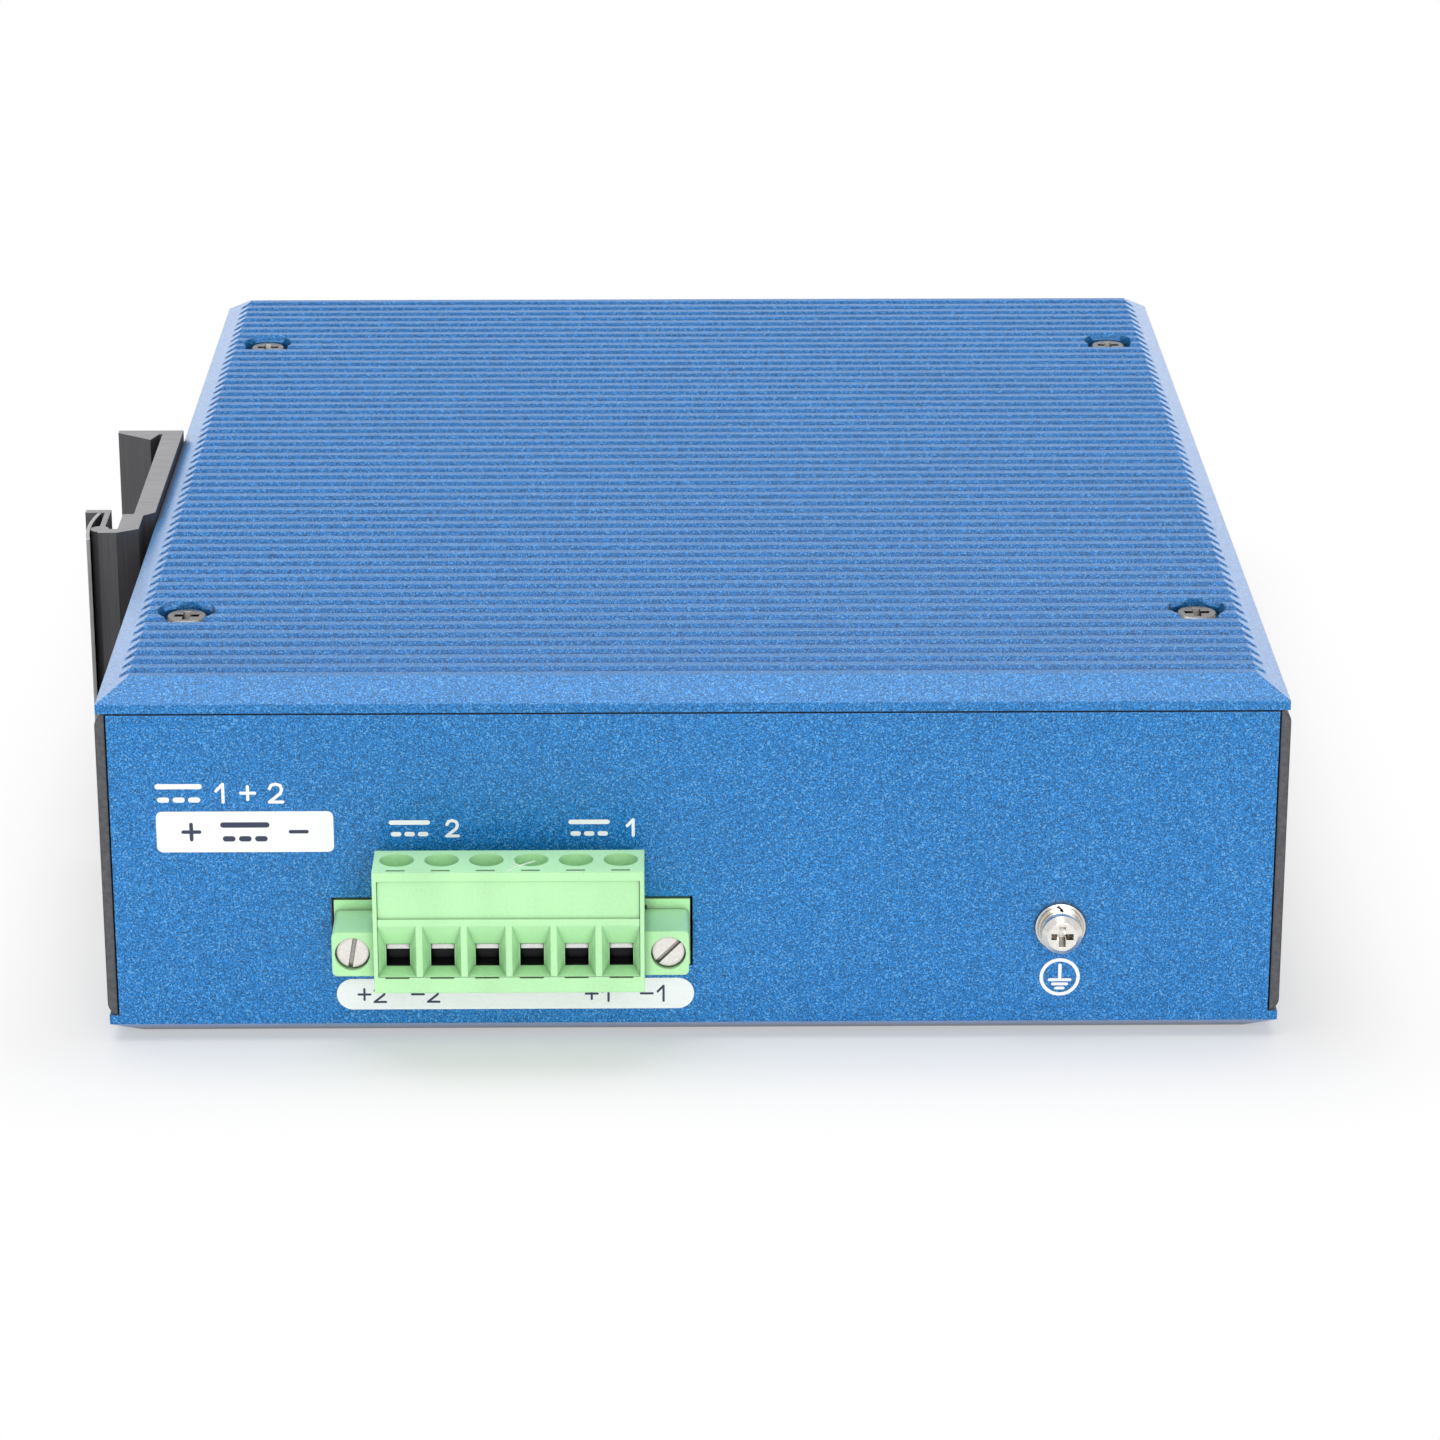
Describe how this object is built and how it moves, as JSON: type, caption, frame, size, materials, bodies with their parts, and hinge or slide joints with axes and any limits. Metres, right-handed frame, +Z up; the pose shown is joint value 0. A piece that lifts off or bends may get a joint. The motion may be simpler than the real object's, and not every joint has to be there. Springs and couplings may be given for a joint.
{
  "type": "din rail ethernet switch",
  "caption": "Industrial network switch for a DIN rail: ribbed blue metal case with black side panels, jacks, pluggable screw terminal and rail clip.",
  "frame": {"origin": "middle of the whole part's box in plan, on the plane of the rib crests that it rests on", "axes": "+Y from the end with the power terminal towards the far end, +X from the rail clip towards the port panel, +Z up, across the case's thickness"},
  "size_m": [0.1456, 0.1842, 0.0439],
  "materials": {
    "blue_cover": "fine sparkling blue coat on aluminium, satin",
    "black_panel": "fine black powder coat, matt",
    "clip_metal": "black anodised aluminium, cut ends matt grey",
    "spring_steel": "bright spring steel",
    "dark_nickel": "dark nickel-plated steel",
    "bright_nickel": "nickel-plated steel",
    "green_plastic": "light green moulded polyamide",
    "black_plastic": "black moulded plastic",
    "board_green": "green solder resist on glass epoxy",
    "tin_shell": "tinned steel",
    "gold_contact": "gold-plated bronze",
    "brass": "turned brass",
    "lamp_lens": "diffused green lens",
    "fin_black": "black anodised aluminium",
    "can_sleeve": "shrunk sleeve",
    "ferrite": "sintered ferrite",
    "black_steel": "black oxidised steel"
  },
  "bodies": {
    "root": {"top_cover": "blue_cover", "base_tray": "blue_cover", "port_panel": "black_panel", "rear_panel": "black_panel", "clinch_nuts": "bright_nickel", "cover_screws": "dark_nickel", "tray_screws": "dark_nickel", "din_clip": "clip_metal", "din_spring": "spring_steel", "clip_screws": "dark_nickel", "clip_nuts": "bright_nickel", "circuit_board": "board_green", "board_standoffs": "brass", "board_screws": "bright_nickel", "switch_chip": "black_plastic", "chip_heatsink": "fin_black", "memory_chips": "black_plastic", "filter_capacitors": "can_sleeve", "power_transformer": "ferrite", "power_inductor": "ferrite", "fault_relay": "black_plastic", "terminal_header": "green_plastic", "header_pins": "tin_shell", "flange_inserts": "brass", "flange_screws": "bright_nickel", "plug_housing": "green_plastic", "plug_cover": "green_plastic", "clamp_cages": "black_steel", "clamp_screws": "bright_nickel", "plug_contacts": "tin_shell", "ground_screw": "bright_nickel", "ground_lock_washer": "bright_nickel", "ground_flat_washer": "bright_nickel", "lamp_holder": "black_plastic", "status_lamps": "lamp_lens", "jack_body_1": "black_plastic", "jack_shield_1": "tin_shell", "jack_contacts_1": "gold_contact", "jack_body_2": "black_plastic", "jack_shield_2": "tin_shell", "jack_contacts_2": "gold_contact"}
  },
  "joints": []
}
